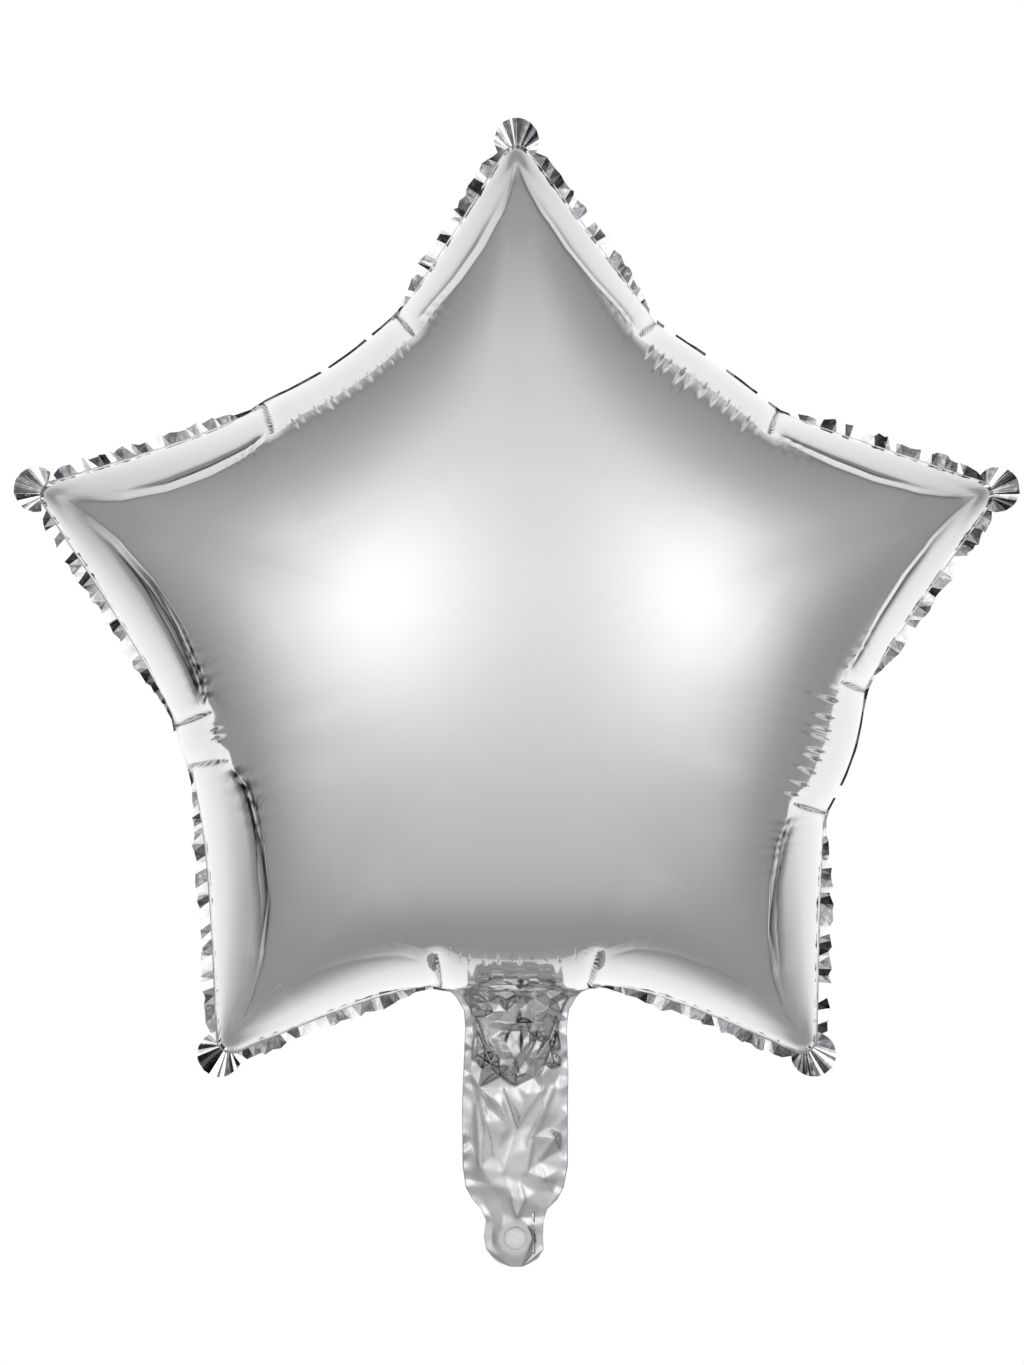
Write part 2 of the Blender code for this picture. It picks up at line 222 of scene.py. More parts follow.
def hollow_rim(line, along):
    """Distance from the seam to the ridge across one hollow."""
    own = 0.001 * HOLLOW_RIMS[(line["arm"] + 1) % ARMS]
    length = np.linalg.norm(line["end"] - line["start"])
    blend = min(RIM_BLEND, length / 2)
    first = (notch_rim(line["arm"] + 1, 0) - own) * (1 - ease(0, blend, along))
    last = (notch_rim(line["arm"] + 1, 1) - own) * (1 - ease(0, blend, length - along))
    return own + first + last


def notch_window(notch, inward, turning, points):
    """1 on one side of a notch's inward line and 0 on the other, with a soft step between."""
    away = points - notch
    depth = away @ inward
    side = away @ np.array([inward[1], -inward[0]])
    half = 0.0015 + 0.30 * np.clip(depth, 0, 0.06) + 0.4 * np.clip(depth - 0.022, 0, 0.04)
    return ease(-half, half, turning * side)


def line_window(line, points):
    """How far each point belongs to a side or hollow, among those on its own part of the star."""
    middle = line["start"] + line["end"]
    near = points @ middle > 0.5 * np.linalg.norm(points, axis=1) * np.linalg.norm(middle)
    if line["kind"] == "gather":
        window = near * notch_window(line["start"], line["start_inward"], 1, points)
        return window * notch_window(line["end"], line["end_inward"], -1, points)
    middle = math.pi / 2 + math.tau / ARMS * line["arm"]
    across = points @ np.array([-math.sin(middle), math.cos(middle)])
    half = 0.0010 + 0.12 * np.clip(TIP_RADIUS - points @ polar(1, middle), 0, 0.2)
    axis = ease(-half, half, line["side"] * across)
    return near * axis * notch_window(line["start"], line["start_inward"], -line["side"], points)


def line_places(line, points):
    """How far along a line each point lies, and how far inside the seam."""
    run = line["end"] - line["start"]
    length = np.linalg.norm(run)
    along = (points - line["start"]) @ run / length
    inset = (line["start"] - points) @ line["slant"]
    if line["kind"] == "side":
        return along, length, inset + side_bow(line["arm"], line["side"], along / length)
    return along, length, inset + hollow_bow(line["arm"] + 1, along / length)


def line_rim(line, along, length):
    """Distance from the seam to the ridge along either kind of line."""
    if line["kind"] == "side":
        return np.maximum(side_rim(line, np.clip(along / length, 0, 1)), LEAST_RIM)
    return hollow_rim(line, along)


# At each notch the ridges of the two lines meet on the line that halves their angle.
bent = [line for line in lines if line["kind"] != "tip"]
for line, following in zip(bent, bent[1:] + bent[:1]):
    if line["kind"] == "side" and line["side"] < 0:
        continue
    inward = -(line["slant"] + following["slant"])
    inward /= np.linalg.norm(inward)
    line["start_inward" if line["kind"] == "side" else "end_inward"] = inward
    following["start_inward"] = inward

# The rings of the film's mesh follow the ridge, found on each column's way to the centre. All of
# these are shares of that way.
SEARCH_FROM, SEARCH_TO, SEARCH_STEPS = 0.006, 0.32, 90
LEAST_RIDGE = 0.022
steps = np.linspace(SEARCH_FROM, SEARCH_TO, SEARCH_STEPS)
ridge_share = np.zeros(column_count)
crossing = np.zeros((len(steps), column_count))
for k, step in enumerate(steps):
    points = seam_at * (1 - step)
    together = np.maximum(sum(line_window(line, points) for line in bent), 1e-6)
    for line in bent:
        along, length, inset = line_places(line, points)
        crossing[k] += line_window(line, points) / together * inset / line_rim(line, along, length)
for column in range(column_count):
    over = np.flatnonzero(crossing[:, column] >= 1)
    k = over[0] if len(over) else len(steps) - 1
    if k == 0:
        ridge_share[column] = steps[0]
        continue
    low, high = crossing[k - 1, column], crossing[k, column]
    reached = min(1.0, (1 - low) / max(high - low, 1e-6))
    ridge_share[column] = steps[k - 1] + (steps[k] - steps[k - 1]) * reached
ridge_share = np.maximum(ridge_share, LEAST_RIDGE)
smoothing = np.hanning(7) / np.hanning(7).sum()
wrapped = np.concatenate([ridge_share[-3:], ridge_share, ridge_share[:3]])
ridge_share = np.convolve(wrapped, smoothing, "valid")

everyone = list(range(column_count))
thinned = [column for column in everyone if lines[seam_line[column]]["kind"] != "tip" or column % 7 == 0]
rings = [(np.zeros(column_count), everyone)]
rim_steps = np.concatenate([np.linspace(0, 0.5, 8)[1:], np.linspace(0.5, 0.985, 24)[1:], [1.0]])
for k, step in enumerate(rim_steps):
    rings.append((ridge_share * step, everyone if k < 1 else thinned))
for k in range(FACE_RINGS + 1):
    step = (k / FACE_RINGS) ** FACE_CROWDING if k else 0.006
    reach = ridge_share + (MIDDLE_REACH - ridge_share) * step
    rings.append((reach, thinned if k < FULL_FACE_RINGS else thinned[::2]))
for k in range(1, COARSE_RINGS + 1):
    step = MIDDLE_REACH + (1 - MIDDLE_REACH) * k / (COARSE_RINGS + 1)
    rings.append((np.full(column_count, step), thinned[::4]))

flat = []
vertex_column = []
vertex_share = []
loops = []
for reach, members in rings:
    loops.append([(len(flat) + k, column) for k, column in enumerate(members)])
    flat += list(seam_at[members] * (1 - reach[members])[:, None])
    vertex_column += members
    vertex_share += list(reach[members])
flat.append(np.zeros(2))
vertex_column.append(0)
vertex_share.append(1.0)
flat = np.array(flat)
vertex_column = np.array(vertex_column)
vertex_share = np.array(vertex_share)
sheet_faces = []
for outer_loop, inner_loop in zip(loops, loops[1:]):
    sheet_faces += bridge(outer_loop, inner_loop, column_count)
inmost = [vertex for vertex, column in loops[-1]]
sheet_faces += [(a, b, len(flat) - 1) for a, b in zip(inmost, inmost[1:] + inmost[:1])]


def membrane(points, faces, held):
    """Height of an evenly loaded membrane held at its first points, by conjugate gradients."""
    corners = np.array(faces)
    rows = []
    cols = []
    weights = []
    load = np.zeros(len(points))
    for turn in range(3):
        a = corners[:, turn]
        b = corners[:, (turn + 1) % 3]
        c = corners[:, (turn + 2) % 3]
        to_a = points[a] - points[c]
        to_b = points[b] - points[c]
        area = np.abs(to_a[:, 0] * to_b[:, 1] - to_a[:, 1] * to_b[:, 0])
        rows += [a, b]
        cols += [b, a]
        weight = 0.5 * (to_a * to_b).sum(axis=1) / area
        weights += [weight, weight]
        np.add.at(load, c, area / 3)
    rows = np.concatenate(rows)
    cols = np.concatenate(cols)
    weights = np.concatenate(weights)
    size = len(points)
    diagonal = np.bincount(rows, weights, size)
    free = np.arange(size) >= held

    def stiff(height):
        return (diagonal * height - np.bincount(rows, weights * height[cols], size)) * free

    height = np.zeros(size)
    left = load * free
    scaled = left / diagonal
    heading = scaled.copy()
    score = left @ scaled
    first = score
    for step in range(4000):
        pushed = stiff(heading)
        reach = score / (heading @ pushed)
        height += reach * heading
        left -= reach * pushed
        scaled = left / diagonal
        new = left @ scaled
        if new < first * 1e-11:
            break
        heading = scaled + heading * (new / score)
        score = new
    return height


rise = np.sqrt(np.maximum(membrane(flat, sheet_faces, column_count), 0))
rise /= rise.max()
# Gas fills the shoulders out a little more than an evenly loaded film alone would show.
FULLNESS = 0.16
dome = BODY_THICKNESS / 2 * rise * (1 + FULLNESS - FULLNESS * rise**3)

# Outside the ridge the film rolls down steeply to the seam, so from the front the rim mirrors what
# is beside and behind the balloon. Each side of an arm has its own folds along the rim, each given
# by its place (as a share of the rim's width) and its depth in mm. A crispness below 1 rounds the
# ridge off.
RIDGE_LIFT = 0.0036
RIDGE_FADE = 0.030
CRISPNESS = ((1.0, 1.0), (1.0, 1.0), (1.0, 0.25), (0.25, 1.0), (1.0, 1.0))
HOLLOW_CRISPNESS = (1.0, 1.0, 1.0, 0.25, 1.0)
SIDE_FOLDS = {
    (0, -1): ((0.72, 0.6),),
    (0, 1): ((0.62, 0.7),),
    (1, -1): ((0.70, 1.3),),
    (1, 1): ((0.68, 0.8), (0.76, 1.2), (0.85, 1.0), (0.94, 1.2)),
    (2, -1): ((0.82, 0.7), (0.90, 1.0), (0.97, 0.9)),
    (2, 1): ((0.70, 0.2),),
    (3, -1): ((0.76, 0.2),),
    (3, 1): ((0.77, 0.6), (0.87, 0.8), (0.95, 0.6)),
    (4, -1): ((0.74, 1.2),),
    (4, 1): ((0.68, 1.3),),
}
FOLD_WIDTHS = (0.0010, 0.0014)
# How much shade is painted on the crumples near the notch: for some sides, and for the rest.
CRUMPLE_SHADES = {(1, 1): 1.6, (2, -1): 1.6, (3, 1): 0.9}
LEAST_CRUMPLE_SHADE = 0.35
CRUMPLE_PITCHES = (0.0028, 0.0055)
CRUMPLE_DEPTH = 0.00045
SIDE_LENGTH = 0.079
# How much shade is painted along the ridge of each side of each arm, and the width it fades over.
RIDGE_CREASE_SHADES = ((0.75, 0.35), (0.35, 0.30), (0.35, 0.0), (0.0, 0.35), (0.30, 0.60))
RIDGE_SHADE_WIDTH = 0.0004
# Pleats between the arms. For each hollow: half of a pleat's width at the ridge, how far in it
# reaches, and how much shade is painted on the small crumples between the pleats.
PLEAT_PITCH = 0.0050
PLEAT_HALVES = (0.0010, 0.0006, 0.0009, 0.0003, 0.0012)
PLEAT_REACHES = (0.0070, 0.0034, 0.0050, 0.0030, 0.0105)
PLEAT_SLOPE = 2.9
TRAIL_DEPTH = 0.00030
HOLLOW_CRUMPLE_SHADES = (0.35, 0.35, 0.9, 0.0, 0.5)
JAG_PITCHES = (0.0016, 0.0042)
JAG_DEPTH = 0.00022
# The lens-shaped crease at each notch.
LENS_HALF = 0.0006
LENS_GROOVE = 0.0009
LENS_PINCH = 0.0016


def hat(distance, width):
    """A fold's section: 1 on its line, with a sharp top, falling off over its width."""
    return np.exp(-np.abs(distance) / width)


def film_relief(seed):
    """How far each point of a sheet stands out from the smooth dome, and the painted shade along
    its creases and folds.
    """
    rng = np.random.default_rng(seed)
    relief = np.zeros(len(flat))
    crease = np.zeros(len(flat))
    together = np.maximum(sum(line_window(line, flat) for line in bent), 1e-6)
    for line in bent:
        along, length, inset = line_places(line, flat)
        window = line_window(line, flat) / together
        shape = side_relief if line["kind"] == "side" else gather_relief
        raised, creased = shape(line, along, length, inset, rng)
        relief += window * raised
        crease += window * creased
    raised, creased = notch_relief(rng)
    own_inset = vertex_share * (seam_at * seam_out).sum(axis=1)[vertex_column]
    held = ease(0, 0.002, own_inset)
    return (relief + raised) * held, np.clip(crease + creased, 0, 1)


def ridge(inset, rim, crisp):
    """Steeper than the dome just outside the ridge, and easing back to the dome inside it."""
    share = np.clip(inset / rim, 0, 1)
    sharp = share ** np.maximum(1.2, rim / 0.0070)
    soft = 1 - (1 - share) ** 2
    inside = np.exp(-((np.maximum(inset - rim, 0) / RIDGE_FADE) ** 2))
    return RIDGE_LIFT * (crisp * sharp + (1 - crisp) * soft) * inside


def side_relief(line, along, length, inset, rng):
    """The ridge and the long folds along one side of an arm."""
    arm, side = line["arm"], line["side"]
    share = np.clip(along / length, 0, 1)
    rim = line_rim(line, along, length)
    crisp = CRISPNESS[arm][side > 0]
    slender = np.clip((1 - share) / 0.35, 0, 1)
    relief = ridge(inset, rim, crisp) * slender
    # Painted shade: a dark line along the ridge.
    crease = RIDGE_CREASE_SHADES[arm][side > 0] * hat(inset - rim, RIDGE_SHADE_WIDTH) * ease(0.02, 0.10, share)
    for place, depth in SIDE_FOLDS[arm, side]:
        width = rng.uniform(*FOLD_WIDTHS)
        stays = ease(0.0, 0.08, share) * (1 - ease(0.50, 0.90, share + 0.15 * rng.random()))
        wander = 1 + 0.025 * np.sin(share * rng.uniform(8, 14) + rng.uniform(0, 6))
        away = inset - place * wander * rim
        relief -= 0.001 * depth * hat(away, width) * stays
        # Painted shade along each fold.
        crease += 1.6 * min(depth, 1.1) * hat(away - 0.0003, 0.0005) * stays * ease(0.0, 0.06, share)
    # Close to the notch the folds break up into small crumples.
    crumple = 0.0
    for wave in range(4):
        pitch = rng.uniform(*CRUMPLE_PITCHES)
        slope = rng.uniform(-0.5, 0.5)
        phase = math.pi * (share * SIDE_LENGTH + slope * inset) / pitch
        crumple += np.abs(np.sin(phase + rng.uniform(0, 6))) - 0.6
    near = (1 - ease(0.0, 0.35, share)) * hat(inset - 0.93 * rim, 0.0030)
    # Painted shade on those crumples.
    crease += CRUMPLE_SHADES.get((arm, side), LEAST_CRUMPLE_SHADE) * ease(0.1, 0.5, crumple) * near * crisp
    return relief - CRUMPLE_DEPTH * crumple * near * crisp**2, crease


def gather_relief(line, along, length, inset, rng):
    """The ridge and the pleats across one hollow."""
    hollow = (line["arm"] + 1) % ARMS
    rim = hollow_rim(line, along)
    relief = ridge(inset, rim, HOLLOW_CRISPNESS[hollow])
    crease = np.zeros(len(inset))
    ends = ease(0.0015, 0.004, along) * (1 - ease(length - 0.004, length - 0.0015, along))
    inner = inset - rim
    place = 0.001 + rng.uniform(0.2, 0.8) * PLEAT_PITCH
    while place < length:
        half = rng.uniform(0.75, 1.15) * PLEAT_HALVES[hollow]
        reach = rng.uniform(0.7, 1.3) * PLEAT_REACHES[hollow]
        lean = rng.uniform(-0.10, 0.10)
        across = along - place - lean * inset
        # A pleat is a steep V groove at the ridge, running in to a point, with a long faint trail
        # beyond it and a slight dip in the rim outside.
        spread = half * np.clip(1 - inner / reach, 0, 1) * ease(-0.0040, 0.0, inner)
        groove = np.maximum(spread - np.abs(across), 0)
        trail = ease(-0.0010, 0.0020, inner) * np.clip(1 - inner / (reach + 0.012), 0, 1) ** 1.5
        dip = ease(0.0, 0.5, inset / rim) * ease(0.0, -0.004, inner)
        relief -= PLEAT_SLOPE * groove * ends
        relief -= TRAIL_DEPTH * half / 0.001 * np.exp(-((across / 0.0013) ** 2)) * trail * ends
        relief -= 0.7 * TRAIL_DEPTH * half / 0.001 * np.exp(-((across / 0.0016) ** 2)) * dip * ends
        edge = np.abs(across - spread if rng.random() < 0.7 else across + spread)
        # Painted shade along one edge of the pleat.
        crease += 0.35 * hat(edge, 0.00025) * (spread > 0.0001) * ease(-0.001, 0.0, inner) * ends
        place += PLEAT_PITCH * rng.uniform(0.85, 1.15)
    # The ridge itself is crumpled small between the pleats.
    jag = 0.0
    for wave in range(3):
        jag += np.abs(np.sin(math.pi * along / rng.uniform(*JAG_PITCHES) + rng.uniform(0, 6))) - 0.6
    jag = jag * HOLLOW_CRISPNESS[hollow] ** 2
    relief -= JAG_DEPTH * jag * hat(inner, 0.0012) * ends
    # Painted shade on the crumples at the ridge.
    crease += HOLLOW_CRUMPLE_SHADES[hollow] * (jag > 0.25) * hat(inner, 0.0008) * ends
    return relief, crease


def notch_frame(hollow, which):
    """How deep inside a notch and how far to its side, anticlockwise, each point lies."""
    notch = notch_at(hollow, which)
    hollows = [line for line in bent if line["kind"] == "gather"]
    inward = hollows[hollow - 1]["end_inward" if which else "start_inward"]
    away = flat - notch
    return away @ inward, away @ np.array([inward[1], -inward[0]])


def notch_relief(rng):
    """A slim lens at each notch: two sharp grooves round a narrow ridge, in a shallow pinch, and
    painted shade along the grooves.
    """
    relief = np.zeros(len(flat))
    crease = np.zeros(len(flat))
    for hollow in range(ARMS):
        for which in (0, 1):
            depth, side = notch_frame(hollow, which)
            length = 0.92 * notch_rim(hollow, which) * rng.uniform(0.9, 1.05)
            side = side - depth * rng.uniform(-0.12, 0.12)
            share = np.clip(depth / length, 0, 1)
            half = LENS_HALF * np.sin(math.pi * share**0.8)
            inside = ease(-0.001, 0.0005, depth) * (1 - ease(0.92, 1.05, depth / length))
            groove = hat(np.abs(side) - half, 0.0006)
            pinch = np.exp(-((side / 0.0042) ** 2)) * (1 - ease(0.6, 1.3, depth / length))
            relief -= (LENS_GROOVE * groove * inside + LENS_PINCH * pinch) * ease(-0.001, 0.002, depth)
            stronger = np.where(side > 0, rng.uniform(0.9, 1.2), rng.uniform(0.6, 1.2))
            # Painted shade along the lens's grooves.
            crease += 1.4 * stronger * hat(np.abs(side) - half, 0.0003) * inside
    return relief, crease


SEAL_THICKNESS = 0.0007


def dome_sheet(side, relief):
    """One sheet's points in space, pushed out along the dome's own normals by its relief."""
    points = np.stack([flat[:, 0], side * np.maximum(dome, SEAL_THICKNESS / 2), flat[:, 1]], 1)
    corners = np.array(sheet_faces)
    a, b, c = points[corners[:, 0]], points[corners[:, 1]], points[corners[:, 2]]
    face_normals = np.cross(b - a, c - a)
    normals = np.zeros_like(points)
    for k in range(3):
        for axis in range(3):
            normals[:, axis] += np.bincount(corners[:, k], face_normals[:, axis], len(points))
    normals /= np.linalg.norm(normals, axis=1)[:, None]
    normals *= side * np.sign(normals[-1, 1])
    return points + normals * relief[:, None]


# Sealed margin: the welded strip outside the seam. It is longer than the shrunken edge it is on,
# so it buckles into small flat facets. Beyond each arm it spreads into a round pleated tab, and
# at the hollows between the arms it folds back.
SEAL_WIDTH = 0.0048
TAB_RADIUS = 0.0092
TAB_REACH = 0.0018
TAB_PLEATS = 13
TAB_TURN = 122
FACET_LENGTHS = (0.0012, 0.0040)
FACET_LIFTS = (0.0004, 0.0021)
HOLLOW_SEAL = 0.0010
# A facet's tone, from 0 for pale matt to 1 for a dark mirror, and how often each is met. The
# tone is painted reflection and shade: it paints the light and dark that the facets would mirror.
FACET_TONES = (0.0, 0.40, 0.50, 0.66, 0.90)
TAB_ODDS = (0.22, 0.18, 0.30, 0.18, 0.12)
SIDE_ODDS = (0.32, 0.28, 0.18, 0.12, 0.10)
HOLLOW_ODDS = (0.30, 0.0, 0.10, 0.15, 0.45)


def margin_corners():
    """The cut edge's corners, each a fold's outer end: its column, place, height and tone."""
    rng = np.random.default_rng(7)
    made = []
    for number, line in enumerate(lines):
        here = np.flatnonzero(seam_line == number)
        at = seam_at[here]
        if line["kind"] == "tip":
            tab = polar(TIP_RADIUS + TAB_REACH, line["middle"])
            folds = np.linspace(0, 1, 2 * TAB_PLEATS + 1)
            folds[1:-1] += rng.uniform(-0.010, 0.010, len(folds) - 2)
            for k, fold in enumerate(folds):
                turn = line["middle"] + math.radians(TAB_TURN) * (2 * fold - 1)
                spot = tab + polar(TAB_RADIUS * rng.uniform(0.97, 1.01), turn)
                height = rng.uniform(0.0003, 0.0010) * (1 if k % 2 else -1)
                tone = rng.choice(FACET_TONES, p=TAB_ODDS)
                made.append((here[0] + fold * (len(here) - 1), spot, height, tone))
            continue
        along = np.concatenate([[0], np.cumsum(np.linalg.norm(np.diff(at, axis=0), axis=1))])
        place = rng.uniform(0.001, 0.002)
        up = 1
        while place < along[-1] - 0.0010:
            column = np.interp(place, along, here)
            spot = np.array([np.interp(place, along, at[:, 0]), np.interp(place, along, at[:, 1])])
            if line["kind"] == "side":
                share = np.interp(place, along, seam_share[here])
                width = SEAL_WIDTH * (0.20 + 0.80 * ease(0.03, 0.30, share))
                width *= 1 - 0.35 * ease(0.88, 1.0, share)
                lift = rng.uniform(*FACET_LIFTS) * (0.35 + 0.65 * ease(0, 0.2, share))
                width *= rng.uniform(0.72, 1.12)
                slide = line["end"] - line["start"]
                slide = slide / np.linalg.norm(slide) * rng.uniform(-0.0012, 0.0012)
                # Facets next to a tab get a dark tone: painted shade beside the tab.
                tone = 0.8 if share > 0.93 else rng.choice(FACET_TONES, p=SIDE_ODDS)
                made.append((column, spot + line["slant"] * width + slide, up * lift, tone))
                place += rng.uniform(*FACET_LENGTHS)
            else:
                fold = HOLLOW_SEAL * rng.uniform(0.7, 1.2)
                tone = rng.choice(FACET_TONES, p=HOLLOW_ODDS)
                made.append((column, spot + line["slant"] * fold, fold * rng.uniform(0.98, 1.08), tone))
                place += rng.uniform(0.003, 0.006)
            up = -up
    return made


front_relief, front_crease = film_relief(31)
back_relief, back_crease = film_relief(47)
front = dome_sheet(-1, front_relief)
back = dome_sheet(1, back_relief)
corners = margin_corners()
points = [front, back]
faces = list(sheet_faces)
faces += [tuple(vertex + len(flat) for vertex in reversed(face)) for face in sheet_faces]
smooth_count = len(faces)
facet_tones = []
total = 2 * len(flat)
for side, base in ((-1, 0), (1, len(flat))):
    half = side * SEAL_THICKNESS / 2
    points.append(np.array([(spot[0], height + half, spot[1]) for _, spot, height, _ in corners]))
    rim_loop = [(total + k, corner[0]) for k, corner in enumerate(corners)]
    seam_loop = [(base + column, column) for column in range(column_count)]
    strip = bridge(rim_loop, seam_loop, column_count)
    faces += strip if side < 0 else [face[::-1] for face in strip]
    # The triangles that share an outer corner lie in one facet and have one tone.
    for face in strip:
        outer_ends = [vertex - total for vertex in face if vertex >= total]
        facet_tones.append(corners[outer_ends[0]][3])
    total += len(corners)
count = len(corners)
for k in range(count):
    n = (k + 1) % count
    a, b = total - 2 * count + k, total - 2 * count + n
    faces += [(a, b, b + count), (a, b + count, a + count)]
    facet_tones += [corners[k][3]] * 2
points = np.concatenate(points)
points[:, 2] += STAR_Z


def mesh_piece(name, points, faces, material):
    """One piece of the scene from its points and faces, smooth and facing outwards."""
    points = [tuple(map(float, point)) for point in points]
    faces = [tuple(map(int, face)) for face in faces]
    mesh = bpy.data.meshes.new(name)
    mesh.from_pydata(points, [], faces)
    mesh.update()
    builder = bmesh.new()
    builder.from_mesh(mesh)
    bmesh.ops.recalc_face_normals(builder, faces=builder.faces)
    builder.to_mesh(mesh)
    builder.free()
    mesh.polygons.foreach_set("use_smooth", [True] * len(mesh.polygons))
    mesh.materials.append(material)
    piece = bpy.data.objects.new(name, mesh)
    bpy.context.scene.collection.objects.link(piece)
    return piece


def linear(hex_colour):
    """An sRGB hex colour as linear red, green, blue and alpha."""
    values = [int(hex_colour[k : k + 2], 16) / 255 for k in (1, 3, 5)]
    return tuple(v / 12.92 if v <= 0.04045 else ((v + 0.055) / 1.055) ** 2.4 for v in values) + (1.0,)


def add_node(tree, kind, settings=None, inputs=None):
    """One node, with its settings and with each input set to a value or linked to an output."""
    node = tree.nodes.new(kind)
    for name, value in (settings or {}).items():
        setattr(node, name, value)
    for key, value in (inputs or {}).items():
        if isinstance(value, bpy.types.NodeSocket):
            tree.links.new(value, node.inputs[key])
        else:
            node.inputs[key].default_value = value
    return node


def new_material(name):
    """A material with its node tree and its shader."""
    material = bpy.data.materials.new(name)
    material.use_nodes = True
    tree = material.node_tree
    return material, tree, tree.nodes["Principled BSDF"]


# Vacuum-metallised film: a mirror of aluminium under a clear face. The faint haze of the film
# blurs what it mirrors. Along hard creases and folds its colour is darkened: painted shade.
HAZE_PATCH = 0.01667
silver_film, tree, shader = new_material("metallised_film")
shader.inputs["Metallic"].default_value = 1.0
place = add_node(tree, "ShaderNodeTexCoord")
haze = add_node(
    tree,
    "ShaderNodeTexNoise",
    inputs={"Vector": place.outputs["Object"], "Scale": 1 / HAZE_PATCH, "Detail": 3.0},
)
rough = add_node(
    tree,
    "ShaderNodeMapRange",
    inputs={"Value": haze.outputs["Fac"], "From Min": 0.3, "From Max": 0.7, "To Min": 0.07, "To Max": 0.10},
)
# Painted shade: the attribute read here darkens the film's colour along creases and folds.
creased = add_node(tree, "ShaderNodeAttribute", {"attribute_name": "crease"})
crease_shade_mix = add_node(
    tree,
    "ShaderNodeMix",
    {"data_type": "RGBA"},
    {"Factor": creased.outputs["Fac"], "A": linear("#F4F4F5"), "B": linear("#1E1E20")},
)
tree.links.new(crease_shade_mix.outputs["Result"], shader.inputs["Base Color"])
tree.links.new(rough.outputs["Result"], shader.inputs["Roughness"])

# The weld: hot jaws press both sheets together, and it buckles into small facets, a mirror on some
# and a pale matt on others. Their tones, from matt white to a dark grey mirror, are painted
# reflection and shade: the white and the dark that the facets would mirror. The jaws' own grain
# is finer than a millimetre, and is drawn coarser here so that it shows.
WELD_GRAIN = 0.0016
welded_film, tree, shader = new_material("welded_film")
place = add_node(tree, "ShaderNodeTexCoord")
cells = add_node(
    tree, "ShaderNodeTexVoronoi", inputs={"Vector": place.outputs["Object"], "Scale": 1 / WELD_GRAIN}
)
spread = add_node(tree, "ShaderNodeSeparateColor", inputs={"Color": cells.outputs["Color"]})
facet = add_node(tree, "ShaderNodeAttribute", {"attribute_name": "facet"})
tone = add_node(
    tree,
    "ShaderNodeMath",
    {"operation": "MULTIPLY_ADD"},
    {0: spread.outputs[0], 1: 0.13, 2: facet.outputs["Fac"]},
)
# The facet's tone paints its colour from white to dark grey, painted reflection and shade, and sets how far
# it mirrors.
shade = add_node(tree, "ShaderNodeValToRGB", inputs={"Fac": tone.outputs[0]})
ramp = shade.color_ramp
ramp.elements[0].position = 0.30
ramp.elements[0].color = linear("#FFFFFF")
ramp.elements[1].color = linear("#3C3C3E")
ramp.elements.new(0.50).color = linear("#D4D4D6")
ramp.elements.new(0.72).color = linear("#828284")
mirror = add_node(
    tree,
    "ShaderNodeMapRange",
    inputs={"Value": tone.outputs[0], "From Min": 0.34, "From Max": 0.44, "To Min": 0.0, "To Max": 1.0},
)
tree.links.new(shade.outputs["Color"], shader.inputs["Base Color"])
tree.links.new(mirror.outputs["Result"], shader.inputs["Metallic"])
shader.inputs["Roughness"].default_value = 0.22

star = mesh_piece("star_envelope", points, faces, silver_film)
star.data.polygons.foreach_set("use_smooth", [k < smooth_count for k in range(len(faces))])
star.data.materials.append(welded_film)
star.data.polygons.foreach_set("material_index", [int(k >= smooth_count) for k in range(len(faces))])
# Painted shade along the star's creases and folds, kept as a point attribute.
creases = star.data.attributes.new("crease", "FLOAT", "POINT")
creases.data.foreach_set("value", np.concatenate([front_crease, back_crease, np.zeros(2 * len(corners))]))
facets = star.data.attributes.new("facet", "FLOAT", "FACE")
facets.data.foreach_set("value", [0.0] * smooth_count + facet_tones)
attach(star, "root")
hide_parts("foil_envelope")


# Neck and tail
# The two sheets run on below the star as the flat tail it was filled through, sealed down both
# edges. Gas stands in the throat as far as the V where the valve begins, and crumples the film
# small; the slack tail below keeps the long folds it got when it was held.
# Its left and right edge at each height, in mm.
NECK_EDGES = (
    (29.0, -30.2, 29.8),
    (26.6, -29.6, 29.2),
    (25.0, -26.4, 26.0),
    (23.2, -24.6, 24.2),
    (18.0, -21.4, 21.2),
    (10.7, -20.8, 20.2),
    (-7.0, -21.6, 20.9),
    (-21.0, -22.1, 20.7),
    (-45.2, -21.9, 20.7),
    (-54.0, -20.6, 19.0),
    (-58.8, -17.8, 16.4),
    (-62.6, -14.4, 12.4),
    (-67.2, -12.4, 10.9),
    (-73.7, -13.3, 10.6),
    (-79.0, -12.3, 10.9),
    (-82.6, -9.4, 8.6),
    (-84.6, -6.8, 5.6),
    (-86.0, -2.6, 2.2),
)
NECK_SEAL = 0.0032
NECK_ROWS = 210
NECK_COLUMNS = 72
TOP_CORNERS = 10
TOP_BULGE = 0.0046
THROAT_DEPTH = 0.0050
TAIL_DEPTH = 0.0014
TAIL_SWELL = 0.0008
LEAST_DEPTH = 0.0011
CORNER_TRIES = 7000
THROAT_FACET = 0.0034
TAIL_FACET = 0.0080
THROAT_ROUGH = 0.0024
TAIL_ROUGH = 0.0013
FOLD_PINCH = 0.0009
